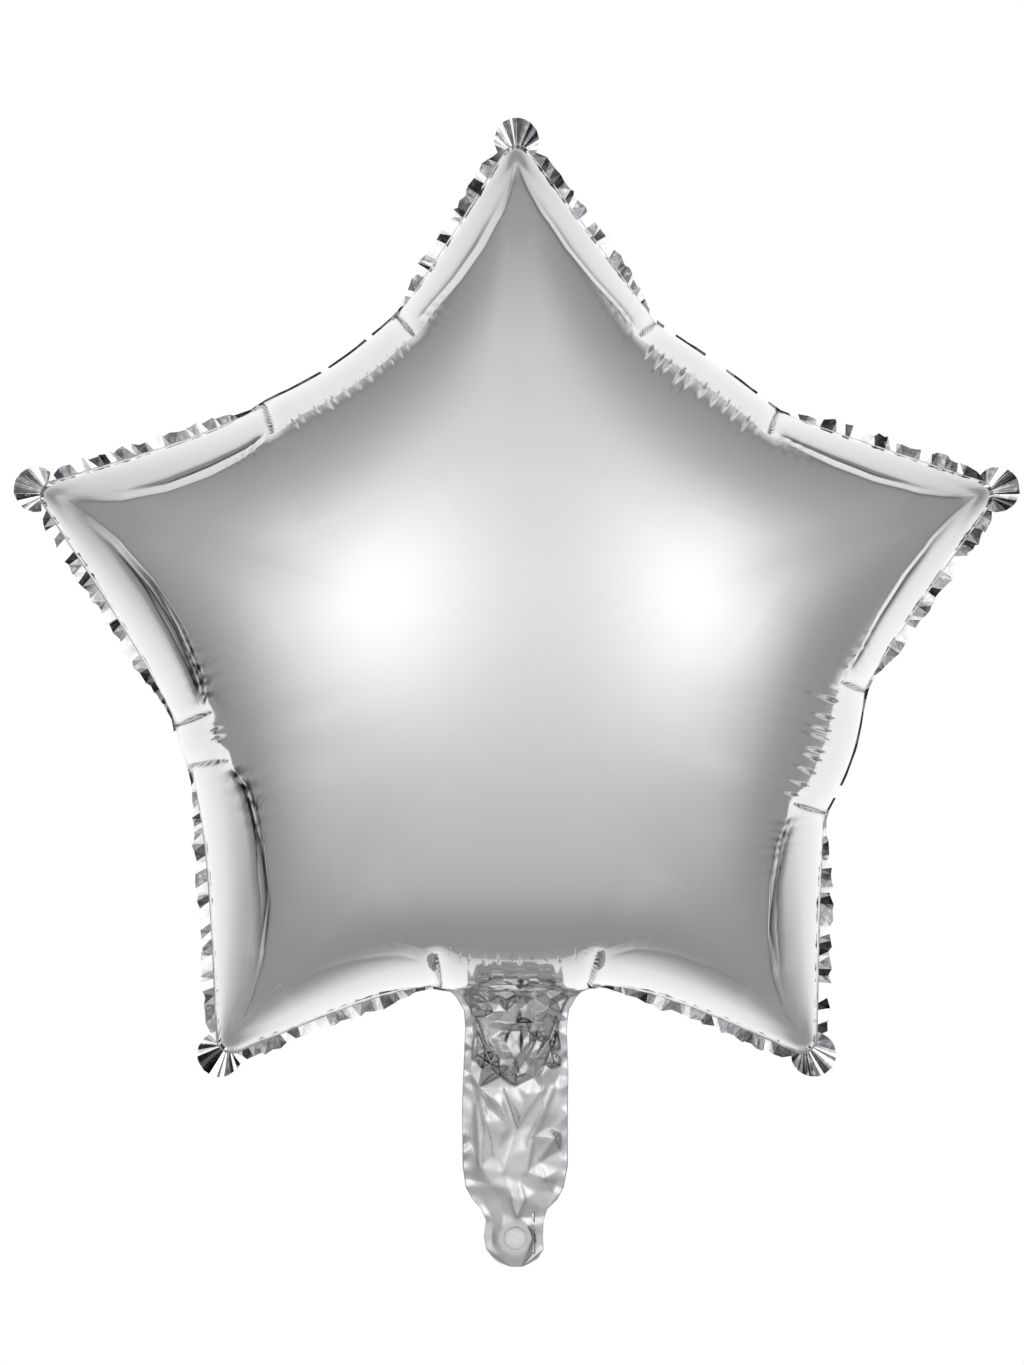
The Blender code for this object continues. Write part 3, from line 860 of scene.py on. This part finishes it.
# The folds kept in the film: each corner's place across and up, and how far it stands out, in mm.
NECK_FOLDS = (
    (
        (-16.6, 15.2, 1.2), (-13.0, 15.4, 3.0), (-7.7, 13.4, 5.6), (-0.5, 12.6, 6.2),
        (6.6, 13.4, 5.6), (12.4, 16.4, 3.0), (16.1, 15.2, 1.2),
    ),
    (
        (-15.6, 9.3, 1.6), (-13.0, 1.5, 2.2), (-10.7, -3.8, 1.8), (-6.5, -8.6, 1.5),
        (-0.5, -12.7, 1.1), (6.6, -9.2, 1.5), (11.4, -3.8, 1.8), (13.6, 1.5, 2.2), (15.6, 9.3, 1.6),
    ),
    ((-16.6, 15.2, 1.2), (-13.2, 6.3, 5.2), (-7.1, -1.6, 5.8)),
    ((16.1, 15.2, 1.2), (13.2, 7.0, 5.2), (7.4, -1.6, 5.8)),
    ((-2.4, 9.8, 3.4), (-2.4, 1.2, 6.4), (-0.5, -1.2, 6.2), (1.7, 1.2, 6.4), (1.7, 9.8, 3.4)),
    ((-0.5, -1.2, 6.2), (-0.5, -12.7, 1.1)),
    ((-0.5, 12.6, 6.2), (-0.6, 20.8, 2.0)),
    ((-15.4, -13.3, 1.3), (-12.6, -27.0, 2.6), (-9.5, -40.7, 1.1)),
    ((-5.3, -13.6, 1.0), (0.3, -29.8, 0.5)),
    ((10.2, -14.5, 3.0), (0.3, -29.8, 0.5)),
    ((15.0, -13.3, 1.0), (10.5, -24.0, 2.9), (6.2, -33.6, 2.4), (3.6, -47.9, 2.0)),
    ((0.3, -29.8, 0.5), (-5.3, -47.9, 2.2)),
    ((15.6, -33.6, 3.0), (8.4, -43.7, 0.8), (10.8, -50.3, 2.4)),
    ((-16.4, -20.0, 0.8), (-14.6, -46.0, 2.3)),
    ((0.7, -52.0, 1.6), (2.6, -58.6, 3.0), (0.2, -65.6, 1.9), (-1.6, -58.6, 2.9), (0.7, -52.0, 1.6)),
)
PORT_AT = (-0.0005, -0.0745)
PORT_RADIUS = 0.0047
PORT_SIDES = 40
PORT_FACE = 0.0017
PORT_RING = 0.0072
PORT_CLEAR = 0.0085
# The valve's pocket: half its width and depth, its bottom and its top.
VALVE_POCKET = (0.0073, 0.0005, -0.0805, -0.0559)

dice = np.random.default_rng(5)
edge_z, edge_left, edge_right = np.array(NECK_EDGES[::-1]).T / 1000


def neck_side(level, side, inset):
    """How far across the neck's left or right edge is at a height, less an inset."""
    edge = edge_left if side < 0 else edge_right
    return np.interp(level, edge_z, edge) - side * inset


def throat_edge(x):
    """The V in which the throat's small creases end, over the smoother film of the tail."""
    return -0.0130 + 0.0125 * (abs(x) / 0.021) ** 1.4


def film_depth(x, z):
    """How far the film stands out from the neck's middle before it is creased."""
    middle = math.sqrt(max(0.0, 1 - (abs(x) / 0.020) ** 2))
    throat = float(ease(-0.001, 0.004, z - throat_edge(x)))
    stub = float(ease(-0.054, -0.060, z))
    depth = TAIL_DEPTH + (TAIL_SWELL + (THROAT_DEPTH - TAIL_DEPTH - TAIL_SWELL) * throat) * middle
    return depth + (PORT_FACE - depth) * stub


# The creased film's corners and the folds between them: along the edges and the seals, at the kept
# folds, round the port, and strewn over the rest.
plan = []
heights = []
folds = []


def add_corner(x, z, front, back):
    """The number of the corner at one place, new or already there."""
    for number, corner in enumerate(plan):
        if (corner.x - x) ** 2 + (corner.y - z) ** 2 < 1e-10:
            return number
    plan.append(Vector((x, z)))
    heights.append((front, back))
    return len(plan) - 1


rim_levels = [edge_z[-1]]
while rim_levels[-1] > edge_z[0] + 0.003:
    rim_levels.append(rim_levels[-1] - dice.uniform(0.0026, 0.0046))
rim_levels[-1] = edge_z[0]
outline = [(neck_side(level, -1, 0), level) for level in rim_levels]
outline += [(neck_side(level, 1, 0), level) for level in rim_levels[::-1]]
for x, z in outline:
    wave = dice.uniform(-0.0011, 0.0011) * float(ease(0.024, 0.016, z)) * float(ease(-0.086, -0.078, z))
    add_corner(x, z, wave - SEAL_THICKNESS / 2, wave + SEAL_THICKNESS / 2)
for number in range(len(outline)):
    folds.append((number, (number + 1) % len(outline)))
for k in range(1, TOP_CORNERS):
    x = neck_side(edge_z[-1], 1, 0) * (1 - 2 * k / TOP_CORNERS)
    bulge = TOP_BULGE * (1 - (x / 0.0305) ** 2)
    add_corner(x, edge_z[-1] - 0.0001, -bulge, bulge)
for side in (-1, 1):
    level = edge_z[-1] - 0.006
    while level > edge_z[0] + 0.004:
        wave = dice.uniform(-0.0007, 0.0007)
        x = neck_side(level, side, NECK_SEAL)
        add_corner(x, level, wave - SEAL_THICKNESS / 2, wave + SEAL_THICKNESS / 2)
        level -= dice.uniform(0.0028, 0.0042)
for fold in NECK_FOLDS:
    numbers = []
    for x, z, stand in fold:
        behind = 0.001 * stand * dice.uniform(0.7, 1.1)
        numbers.append(add_corner(x / 1000, z / 1000, -0.001 * stand, behind))
    folds += list(zip(numbers, numbers[1:]))
for k in range(8):
    turn = math.tau * k / 8
    x, z = PORT_AT[0] + PORT_RING * math.cos(turn), PORT_AT[1] + PORT_RING * math.sin(turn)
    add_corner(x, z, -PORT_FACE, PORT_FACE)
for attempt in range(CORNER_TRIES):
    z = dice.uniform(edge_z[0], edge_z[-1])
    x = dice.uniform(-0.021, 0.021)
    in_throat = z > throat_edge(x)
    spacing = THROAT_FACET if in_throat else TAIL_FACET * dice.uniform(0.7, 1.2)
    inset = NECK_SEAL + 0.35 * spacing
    if not neck_side(z, -1, inset) < x < neck_side(z, 1, inset):
        continue
    if math.hypot(x - PORT_AT[0], z - PORT_AT[1]) < PORT_CLEAR:
        continue
    if any((corner.x - x) ** 2 + (corner.y - z) ** 2 < (0.78 * spacing) ** 2 for corner in plan):
        continue
    rough = THROAT_ROUGH if in_throat else TAIL_ROUGH
    depth = film_depth(x, z)
    in_front = max(LEAST_DEPTH, depth + dice.uniform(-1, 1) * rough)
    behind = max(LEAST_DEPTH, depth + dice.uniform(-1, 1) * rough)
    add_corner(x, z, -in_front, behind)

corners, _, facets, origin, _, _ = delaunay_2d_cdt(plan, folds, [], 1, 1e-7)
stands = np.array([heights[sources[0]] for sources in origin])
places = np.array([tuple(corner) for corner in corners])
facets = np.array(facets)
# Some facets of the throat are drawn darker at random; none in the tail.
facet_darkening = dice.choice((0.0, 0.05, 0.20, 0.45), len(facets), p=(0.62, 0.16, 0.12, 0.10))
facet_darkening[places[facets].mean(axis=1)[:, 1] < -0.006] = 0


def neck_film(points):
    """The facet each point of the neck lies in, and the two sheets' heights there."""
    found = np.zeros(len(points), int)
    height = np.zeros((len(points), 2))
    for number, (a, b, c) in enumerate(facets):
        low = places[[a, b, c]].min(axis=0) - 1e-4
        high = places[[a, b, c]].max(axis=0) + 1e-4
        near = np.flatnonzero(((points >= low) & (points <= high)).all(axis=1))
        if not len(near):
            continue
        grid = np.array([places[b] - places[a], places[c] - places[a]]).T
        parts = np.linalg.solve(grid, (points[near] - places[a]).T).T
        inside = (parts[:, 0] >= -0.02) & (parts[:, 1] >= -0.02) & (parts.sum(axis=1) <= 1.02)
        near, parts = near[inside], parts[inside]
        found[near] = number
        toward_b = parts[:, :1] * (stands[b] - stands[a])
        toward_c = parts[:, 1:] * (stands[c] - stands[a])
        height[near] = stands[a] + toward_b + toward_c
    return found, height


def neck_crease(points, which):
    """Painted shade at each point of the film: darkest along the sharpest folds."""
    sides = {}
    for number, facet in enumerate(facets):
        for k in range(3):
            sides.setdefault(tuple(sorted((facet[k], facet[(k + 1) % 3]))), []).append(number)
    slopes = []
    for a, b, c in facets:
        grid = np.array([places[b] - places[a], places[c] - places[a]])
        rises = np.array([stands[b] - stands[a], stands[c] - stands[a]])[:, which]
        slopes.append(np.linalg.solve(grid, rises))
    crease = np.zeros(len(points))
    for (a, b), pair in sides.items():
        if len(pair) < 2:
            continue
        bend = np.linalg.norm(slopes[pair[0]] - slopes[pair[1]])
        if bend < 0.45:
            continue
        run = places[b] - places[a]
        share = np.clip((points - places[a]) @ run / (run @ run), 0, 1)
        gap = np.linalg.norm(points - places[a] - share[:, None] * run, axis=1)
        crease = np.maximum(crease, min(1.0, 0.55 * bend) * np.exp(-gap / 0.00035))
    return crease


# Both sheets are draped over those facets, as one fine grid each.
levels = np.linspace(edge_z[-1], edge_z[0], NECK_ROWS)
left, right = neck_side(levels, -1, 0), neck_side(levels, 1, 0)
across = np.linspace(0, 1, NECK_COLUMNS)
flat_x = left[:, None] + (right - left)[:, None] * across
flat_z = np.repeat(levels[:, None], NECK_COLUMNS, axis=1)
film = neck_film(np.stack([flat_x.ravel() * 0.998, flat_z.ravel()], 1))[1]
film = film.reshape(NECK_ROWS, NECK_COLUMNS, 2)
# The tail's long folds are pinched into fine ridges, which catch the light as white streaks.
flat_places = np.stack([flat_x.ravel(), flat_z.ravel()], 1)
pinch = np.zeros(len(flat_places))
for fold in NECK_FOLDS:
    if max(z for _, z, _ in fold) > -13.0:
        continue
    for start, end in zip(fold, fold[1:]):
        start, end = np.array(start[:2]) / 1000, np.array(end[:2]) / 1000
        run = end - start
        share = np.clip((flat_places - start) @ run / (run @ run), 0, 1)
        gap = np.linalg.norm(flat_places - start - share[:, None] * run, axis=1)
        pinch = np.maximum(pinch, np.exp(-gap / 0.0006))
film[:, :, 0] -= FOLD_PINCH * pinch.reshape(NECK_ROWS, NECK_COLUMNS)
in_tail = ease(-0.010, -0.016, flat_z)[:, :, None]
for turn in range(4):
    padded = np.pad(film, ((1, 1), (1, 1), (0, 0)), "edge")
    smoothed = (padded[:-2, 1:-1] + padded[2:, 1:-1] + padded[1:-1, :-2] + padded[1:-1, 2:] + 2 * film) / 6
    film = film + (smoothed - film) * (1 if turn == 0 else in_tail)
neck_points = np.concatenate(
    [np.stack([flat_x, film[:, :, side], flat_z], 2).reshape(-1, 3) for side in (0, 1)]
)
sheet_size = NECK_ROWS * NECK_COLUMNS
neck_faces = []
for row in range(NECK_ROWS - 1):
    for k in range(NECK_COLUMNS - 1):
        a = row * NECK_COLUMNS + k
        quad = (a, a + 1, a + 1 + NECK_COLUMNS, a + NECK_COLUMNS)
        neck_faces.append(quad)
        neck_faces.append(tuple(vertex + sheet_size for vertex in quad[::-1]))
edge = list(range(NECK_COLUMNS - 1))
edge += [row * NECK_COLUMNS + NECK_COLUMNS - 1 for row in range(NECK_ROWS - 1)]
edge += [(NECK_ROWS - 1) * NECK_COLUMNS + k for k in range(NECK_COLUMNS - 1, 0, -1)]
edge += [row * NECK_COLUMNS for row in range(NECK_ROWS - 1, 0, -1)]
for a, b in zip(edge, edge[1:] + edge[:1]):
    neck_faces.append((b, a, a + sheet_size, b + sheet_size))
neck = mesh_piece("neck_envelope", neck_points, neck_faces, silver_film)

# The port is punched through the front sheet only, into the flat pocket that holds the valve.
half_wide, half_deep, bottom, top = VALVE_POCKET
turns = [math.tau * k / PORT_SIDES for k in range(PORT_SIDES)]
circle = [(PORT_RADIUS * math.cos(turn), PORT_RADIUS * math.sin(turn)) for turn in turns]
round_hole = [(PORT_AT[0] + x, y, PORT_AT[1] + z) for y in (-0.02, 0.0) for x, z in circle]
square = ((-half_wide, bottom), (half_wide, bottom), (half_wide, top), (-half_wide, top))
box = [(x, y, z) for y in (-half_deep, half_deep) for x, z in square]
for name, solid in (("pocket", box), ("port", round_hole)):
    count = len(solid) // 2
    walls = [(k, (k + 1) % count, count + (k + 1) % count, count + k) for k in range(count)]
    ends = [tuple(range(count)), tuple(range(2 * count - 1, count - 1, -1))]
    cutter = mesh_piece(name, solid, ends + walls, silver_film)
    cut = neck.modifiers.new(name, "BOOLEAN")
    cut.operation = "DIFFERENCE"
    cut.solver = "MANIFOLD"
    cut.object = cutter
    bpy.context.view_layer.update()
    whole = bpy.data.meshes.new_from_object(neck.evaluated_get(bpy.context.evaluated_depsgraph_get()))
    neck.modifiers.clear()
    neck.data = whole
    bpy.data.objects.remove(cutter)

at = np.array([tuple(vertex.co) for vertex in neck.data.vertices])
neck_flat = at[:, [0, 2]]
found, height = neck_film(neck_flat)
in_front = at[:, 1] < height.mean(axis=1)
# Painted shade along the neck's folds, and the throat's randomly darker facets, darken the film's colour
# through the attribute below.
dark = np.where(in_front, neck_crease(neck_flat, 0), neck_crease(neck_flat, 1))
creases = neck.data.attributes.new("crease", "FLOAT", "POINT")
creases.data.foreach_set("value", np.clip(dark + facet_darkening[found], 0, 1))
neck.data.polygons.foreach_set("use_smooth", [True] * len(neck.data.polygons))
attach(neck, "root")
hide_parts("foil_envelope")


# Valve
# A flat strip of two plastic films inside the tail. It is translucent and nearly white, and shows
# through the port. The CAD node keeps its shape.
VALVE_MOTTLE = 0.0012
valve_film, tree, shader = new_material("valve_film")
place = add_node(tree, "ShaderNodeTexCoord")
mottle = add_node(
    tree, "ShaderNodeTexNoise", inputs={"Vector": place.outputs["Object"], "Scale": 1 / VALVE_MOTTLE}
)
tint = add_node(
    tree,
    "ShaderNodeMix",
    {"data_type": "RGBA"},
    {"Factor": mottle.outputs["Fac"], "A": linear("#B4B4B6"), "B": linear("#CACACC")},
)
tree.links.new(tint.outputs["Result"], shader.inputs["Base Color"])
shader.inputs["Roughness"].default_value = 0.35
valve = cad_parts["valve_strip"]
for slot in valve.material_slots:
    slot.link = "OBJECT"
    slot.material = valve_film


# Studio
# A white photographer's tent stands round the balloon. A grey flat curves across its front, with a
# soft pool of light on each side of the camera: the film's face mirrors the flat, and its steep rim
# the paler sides and back of the tent.
CARD_RADIUS = 0.74
CARD_SEGMENTS = 72
CARD_BANDS = 60
CARD_GLOW = 1.1
# Each pool's direction, how wide it spreads and how bright it is.
LIGHT_POOLS = (
    ((-0.31, -0.93, 0.125), 0.0430, 0.46),
    ((0.446, -0.891, 0.120), 0.0500, 0.45),
    ((0.0, -0.59, 0.81), 0.0440, 0.15),
)
# The flat and the tent behind it, from the camera's side (0 degrees) round to the back (180), in
# the lower and in the upper half.
TENT_BELOW = (
    (0, "#C5C5C7"),
    (15, "#C3C3C5"),
    (28, "#BCBCBE"),
    (44, "#AEAEB0"),
    (52, "#A3A3A5"),
    (60, "#98989A"),
    (70, "#909092"),
    (86, "#8E8E90"),
    (94, "#9A9A9C"),
    (104, "#C2C2C4"),
    (114, "#E0E0E2"),
    (126, "#ECECED"),
    (145, "#F6F6F7"),
    (158, "#FCFCFC"),
    (168, "#F0F0F1"),
    (180, "#D4D4D6"),
)
TENT_ABOVE = (
    (0, "#C5C5C7"),
    (15, "#C9C9CB"),
    (27, "#CFCFD1"),
    (37, "#C8C8CA"),
    (48, "#B4B4B6"),
    (58, "#A6A6A8"),
    (72, "#9A9A9C"),
    (86, "#909092"),
    (91, "#868688"),
    (95, "#A0A0A2"),
    (100, "#C2C2C4"),
    (106, "#CFCFD1"),
    (120, "#DEDEE0"),
    (140, "#EDEDEE"),
    (158, "#F7F7F8"),
    (168, "#EEEEF0"),
    (180, "#D8D8DA"),
)
card_points = [(0.0, -CARD_RADIUS, 0.0)]
for band in range(1, CARD_BANDS + 1):
    turn = math.pi * band / CARD_BANDS
    for segment in range(CARD_SEGMENTS):
        roll = math.tau * segment / CARD_SEGMENTS
        spread = CARD_RADIUS * math.sin(turn)
        back_by = -CARD_RADIUS * math.cos(turn)
        card_points.append((spread * math.cos(roll), back_by, spread * math.sin(roll)))
card_faces = [(0, 1 + (k + 1) % CARD_SEGMENTS, 1 + k) for k in range(CARD_SEGMENTS)]
for band in range(CARD_BANDS - 1):
    for k in range(CARD_SEGMENTS):
        a = 1 + band * CARD_SEGMENTS + k
        b = 1 + band * CARD_SEGMENTS + (k + 1) % CARD_SEGMENTS
        card_faces.append((a, b, b + CARD_SEGMENTS, a + CARD_SEGMENTS))

grey_card, tree, shader = new_material("grey_studio_card")
tree.nodes.remove(shader)
place = add_node(tree, "ShaderNodeTexCoord")
heading = add_node(
    tree, "ShaderNodeVectorMath", {"operation": "NORMALIZE"}, {0: place.outputs["Object"]}
)
parts = add_node(tree, "ShaderNodeSeparateXYZ", inputs={0: heading.outputs[0]})
away = add_node(tree, "ShaderNodeMath", {"operation": "MULTIPLY"}, {0: parts.outputs["Y"], 1: -1.0})
angle = add_node(tree, "ShaderNodeMath", {"operation": "ARCCOSINE"}, {0: away.outputs[0]})
turn = add_node(tree, "ShaderNodeMath", {"operation": "DIVIDE"}, {0: angle.outputs[0], 1: math.pi})
halves = []
for stops in (TENT_BELOW, TENT_ABOVE):
    shade = add_node(tree, "ShaderNodeValToRGB", inputs={"Fac": turn.outputs[0]})
    for degrees, _ in stops[1:-1]:
        shade.color_ramp.elements.new(degrees / 180)
    for element, (degrees, colour) in zip(shade.color_ramp.elements, stops):
        element.position = degrees / 180
        element.color = linear(colour)
    halves.append(shade.outputs["Color"])
raised = add_node(
    tree,
    "ShaderNodeMapRange",
    {"interpolation_type": "SMOOTHSTEP"},
    {"Value": parts.outputs["Z"], "From Min": -0.55, "From Max": 0.55},
)
card_shade = add_node(
    tree,
    "ShaderNodeMix",
    {"data_type": "RGBA"},
    {"Factor": raised.outputs["Result"], "A": halves[0], "B": halves[1]},
)
glow = card_shade.outputs["Result"]
for pool, reach, strength in LIGHT_POOLS:
    toward = Vector(pool).normalized()
    facing = add_node(
        tree, "ShaderNodeVectorMath", {"operation": "DOT_PRODUCT"}, {0: heading.outputs[0], 1: toward}
    )
    narrowed = add_node(
        tree,
        "ShaderNodeMath",
        {"operation": "MULTIPLY_ADD"},
        {0: facing.outputs["Value"], 1: 1 / reach, 2: -1 / reach},
    )
    falloff = add_node(tree, "ShaderNodeMath", {"operation": "EXPONENT"}, {0: narrowed.outputs[0]})
    pool_light = add_node(
        tree, "ShaderNodeMath", {"operation": "MULTIPLY"}, {0: falloff.outputs[0], 1: strength}
    )
    glow = add_node(
        tree,
        "ShaderNodeMix",
        {"data_type": "RGBA", "blend_type": "ADD", "clamp_result": False},
        {"Factor": 1.0, "A": glow, "B": pool_light.outputs[0]},
    ).outputs["Result"]
lit = add_node(tree, "ShaderNodeEmission", inputs={"Color": glow, "Strength": CARD_GLOW})
tree.links.new(lit.outputs[0], tree.nodes["Material Output"].inputs["Surface"])
card = mesh_piece("studio_card", card_points, card_faces, grey_card)
card.location = (0, 0, STAR_Z)
card.visible_camera = False
card.visible_shadow = False
card.visible_diffuse = False
card.visible_transmission = False

# The floor is board painted matt white, well below the tail. It takes a soft shadow.
FLOOR_RADIUS = 1.9
FLOOR_SIDES = 96
FLOOR_Z = -0.62
white_floor, tree, shader = new_material("white_floor")
shader.inputs["Base Color"].default_value = linear("#F4F4F4")
shader.inputs["Roughness"].default_value = 0.9
turns = [math.tau * k / FLOOR_SIDES for k in range(FLOOR_SIDES)]
floor_ring = [(FLOOR_RADIUS * math.cos(turn), FLOOR_RADIUS * math.sin(turn), 0) for turn in turns]
floor = mesh_piece("floor", floor_ring, [tuple(range(FLOOR_SIDES))], white_floor)
floor.location = (0, 0, FLOOR_Z)

# One soft light hangs overhead. Another behind the camera fills the matt parts; it isn't mirrored,
# as the film shows the tent instead.
for name, size, power, spot, tilt, mirrored in (
    ("overhead_softbox", 1.2, 12, (0, 0.1, 2.2), 0, True),
    ("front_softbox", 1.4, 30, (0, -2.9, 1.0), 72, False),
):
    lamp_data = bpy.data.lights.new(name, "AREA")
    lamp_data.shape = "SQUARE"
    lamp_data.size = size
    lamp_data.energy = power
    lamp = bpy.data.objects.new(name, lamp_data)
    bpy.context.scene.collection.objects.link(lamp)
    lamp.location = spot
    lamp.rotation_euler = (math.radians(tilt), 0, 0)
    lamp.visible_glossy = mirrored

world = bpy.data.worlds.new("white_room")
bpy.context.scene.world = world
world.use_nodes = True
world.node_tree.nodes["Background"].inputs["Color"].default_value = (1, 1, 1, 1)
world.node_tree.nodes["Background"].inputs["Strength"].default_value = 1.0
bpy.context.scene.view_settings.view_transform = "Standard"
